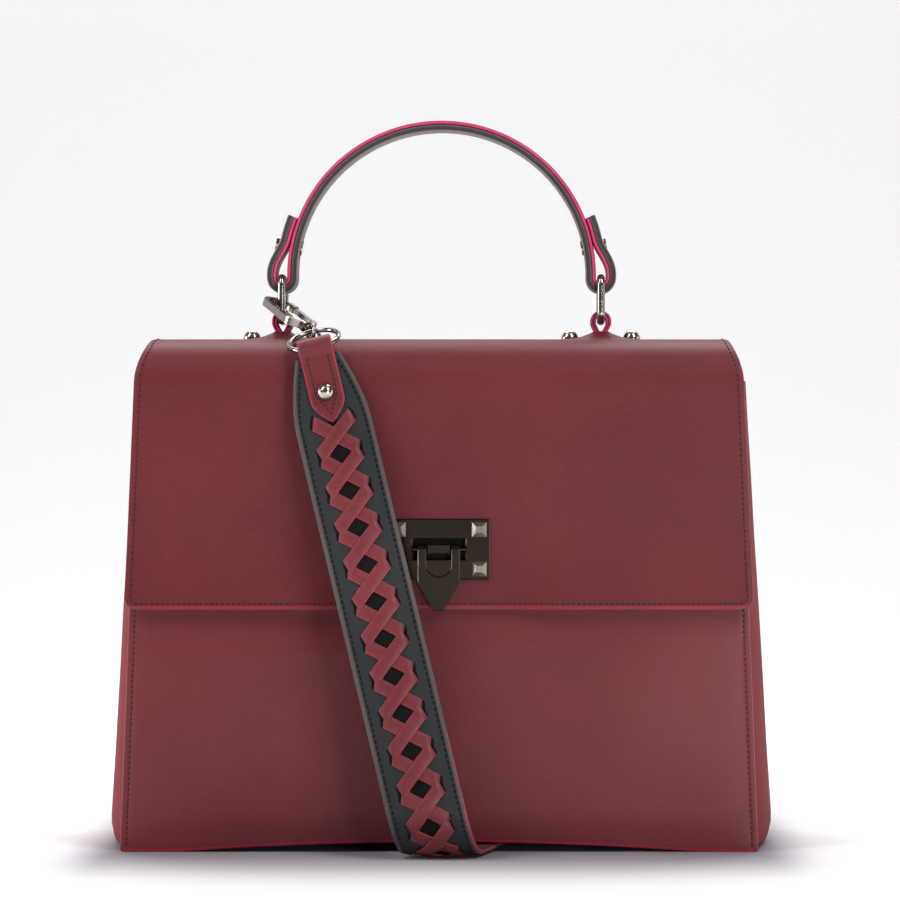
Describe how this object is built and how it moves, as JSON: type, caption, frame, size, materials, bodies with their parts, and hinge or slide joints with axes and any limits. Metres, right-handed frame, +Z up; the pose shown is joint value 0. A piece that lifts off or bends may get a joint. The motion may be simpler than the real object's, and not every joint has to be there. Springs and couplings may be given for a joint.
{
  "type": "top handle bag",
  "caption": "Structured leather flap bag with an arched top handle on rings, a flip lock and a laced shoulder strap clipped to one ring and laid under the bag.",
  "frame": {"origin": "on the floor, between the two flat ends that the bag stands on", "axes": "+Z up, the front with the lock faces -Y, +X to the right as seen from the front"},
  "size_m": [0.3408, 0.305, 0.3705],
  "materials": {
    "burgundy_leather": "smooth satin",
    "lace_leather": "smooth satin",
    "black_leather": "smooth matt",
    "grey_leather": "smooth matt",
    "lining_fabric": "plain weave",
    "board": "matt",
    "lock_metal": "polished gunmetal",
    "bright_metal": "polished nickel",
    "ring_metal": "polished gunmetal nickel"
  },
  "bodies": {
    "bag": {"front_panel": "burgundy_leather", "back_panel": "burgundy_leather", "base_panel": "burgundy_leather", "gusset_left": "burgundy_leather", "gusset_right": "burgundy_leather", "base_board": "board", "lining": "lining_fabric", "lock_post": "lock_metal", "strap_tail": "black_leather", "far_end_tab": "burgundy_leather", "far_end_stud": "bright_metal", "far_end_ring": "ring_metal", "far_hook_swivel": "ring_metal"},
    "flap": {"flap": "burgundy_leather", "lock_plate": "lock_metal", "lock_studs": "bright_metal", "tongue_pins": "lock_metal", "left_handle_tab": "burgundy_leather", "right_handle_tab": "burgundy_leather", "ball_studs": "bright_metal", "strap_front": "black_leather", "strap_lace": "lace_leather", "near_end_tab": "burgundy_leather", "near_end_stud": "bright_metal", "near_end_ring": "ring_metal", "near_hook_swivel": "ring_metal", "near_hook": "ring_metal"},
    "tongue": {"lock_tongue": "lock_metal"},
    "left_ring": {"left_ring": "ring_metal"},
    "right_ring": {"right_ring": "ring_metal"},
    "handle": {"handle_outer": "burgundy_leather", "handle_lining": "grey_leather", "handle_rivets": "bright_metal"},
    "near_gate": {"near_hook_gate": "ring_metal"},
    "far_hook": {"far_hook": "ring_metal"},
    "far_gate": {"far_hook_gate": "ring_metal"}
  },
  "joints": [
    {"name": "flap_open", "type": "hinge", "parent": "bag", "child": "flap", "pos_m": [0, 0.06, 0.254], "axis": [-1, 0, 0], "range_deg": [0, 110], "deforming": ["strap_front", "strap_lace"]},
    {"name": "tongue_lift", "type": "hinge", "parent": "flap", "child": "tongue", "pos_m": [0, -0.0648, 0.1515], "axis": [-1, 0, 0], "range_deg": [0, 95]},
    {"name": "left_ring_swing", "type": "hinge", "parent": "flap", "child": "left_ring", "pos_m": [-0.082, 0, 0.2674], "axis": [0, 1, 0], "range_deg": [-20, 8]},
    {"name": "right_ring_swing", "type": "hinge", "parent": "flap", "child": "right_ring", "pos_m": [0.082, 0, 0.2674], "axis": [0, 1, 0], "range_deg": [-20, 8]},
    {"name": "handle_level", "type": "hinge", "parent": "left_ring", "child": "handle", "pos_m": [-0.082, 0, 0.2895], "axis": [0, 1, 0], "range_deg": [-8, 20]},
    {"name": "near_gate_open", "type": "hinge", "parent": "flap", "child": "near_gate", "pos_m": [-0.06648, -0.02559, 0.26614], "axis": [0.307, -0.2133, 0.9275], "range_deg": [0, 10], "stiffness_Nm_per_rad": 0.02},
    {"name": "far_hook_turn", "type": "hinge", "parent": "bag", "child": "far_hook", "pos_m": [0.05488, 0.13095, 0.02359], "axis": [-0.2369, -0.9715, 0], "range_deg": [-20, 20]},
    {"name": "far_gate_open", "type": "hinge", "parent": "far_hook", "child": "far_gate", "pos_m": [0.04283, 0.11361, 0.02359], "axis": [0, 0, 1], "range_deg": [0, 22], "stiffness_Nm_per_rad": 0.02}
  ],
  "couplings": [
    {"joint": "right_ring_swing", "follows": "left_ring_swing", "ratio": 1},
    {"joint": "handle_level", "follows": "left_ring_swing", "ratio": -1}
  ]
}
